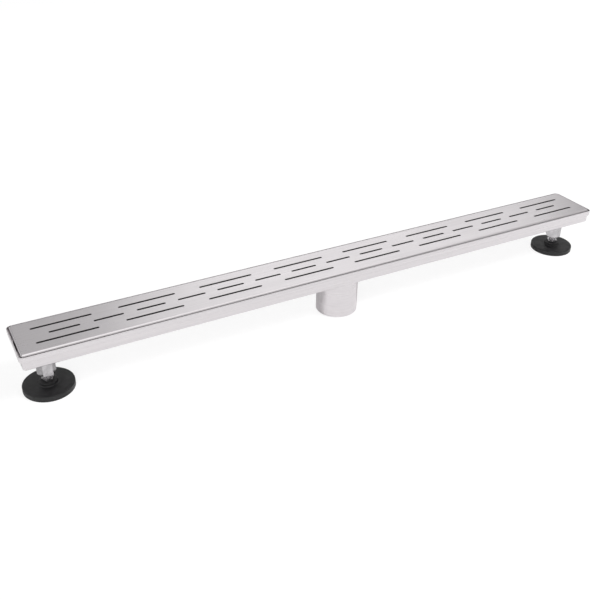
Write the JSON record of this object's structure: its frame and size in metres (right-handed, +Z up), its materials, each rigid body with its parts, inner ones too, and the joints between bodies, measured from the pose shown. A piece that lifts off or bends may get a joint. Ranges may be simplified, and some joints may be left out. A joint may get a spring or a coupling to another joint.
{
  "type": "channel drain",
  "caption": "Linear shower floor drain: a shallow sheet steel channel with a lift-out slotted cover, a round outlet below and screw-adjustable feet.",
  "frame": {"origin": "on the floor under the middle of the channel, at the level of the undersides of the foot pads", "axes": "+X along the channel, +Y across it, +Z up through the cover"},
  "size_m": [0.82, 0.072, 0.0714],
  "materials": {
    "stainless_sheet": "fine brushed stainless sheet",
    "zinc_plate": "bright zinc plated steel",
    "pad_plastic": "black moulded nylon",
    "clip_rubber": "black extruded rubber"
  },
  "bodies": {
    "drain": {"channel_trough": "stainless_sheet", "outlet_pipe": "stainless_sheet", "slotted_cover": "stainless_sheet", "hair_strainer": "stainless_sheet", "edge_clip_front_1": "clip_rubber", "edge_clip_front_2": "clip_rubber", "edge_clip_front_3": "clip_rubber", "edge_clip_back_1": "clip_rubber", "edge_clip_back_2": "clip_rubber", "edge_clip_back_3": "clip_rubber", "edge_clip_left_end": "clip_rubber", "edge_clip_right_end": "clip_rubber", "long_nut_left": "zinc_plate", "long_nut_right": "zinc_plate"},
    "left_pad": {"pad_base_left": "pad_plastic", "pad_plug_left": "pad_plastic"},
    "left_stud": {"foot_stud_left": "zinc_plate"},
    "right_pad": {"pad_base_right": "pad_plastic", "pad_plug_right": "pad_plastic"},
    "right_stud": {"foot_stud_right": "zinc_plate"}
  },
  "joints": [
    {"name": "left_foot_height", "type": "slide", "parent": "drain", "child": "left_pad", "axis": [0, 0, -1], "range_m": [-0.0045, 0.0135]},
    {"name": "left_stud_turn", "type": "hinge", "parent": "left_pad", "child": "left_stud", "pos_m": [-0.3794, 0, 0.0075], "axis": [0, 0, -1], "range_deg": [-1080, 3240]},
    {"name": "right_foot_height", "type": "slide", "parent": "drain", "child": "right_pad", "axis": [0, 0, -1], "range_m": [-0.0045, 0.0135]},
    {"name": "right_stud_turn", "type": "hinge", "parent": "right_pad", "child": "right_stud", "pos_m": [0.3794, 0, 0.0075], "axis": [0, 0, -1], "range_deg": [-1080, 3240]}
  ],
  "couplings": [
    {"joint": "left_stud_turn", "follows": "left_foot_height", "rad_per_m": 4188.8},
    {"joint": "right_stud_turn", "follows": "right_foot_height", "rad_per_m": 4188.8}
  ]
}
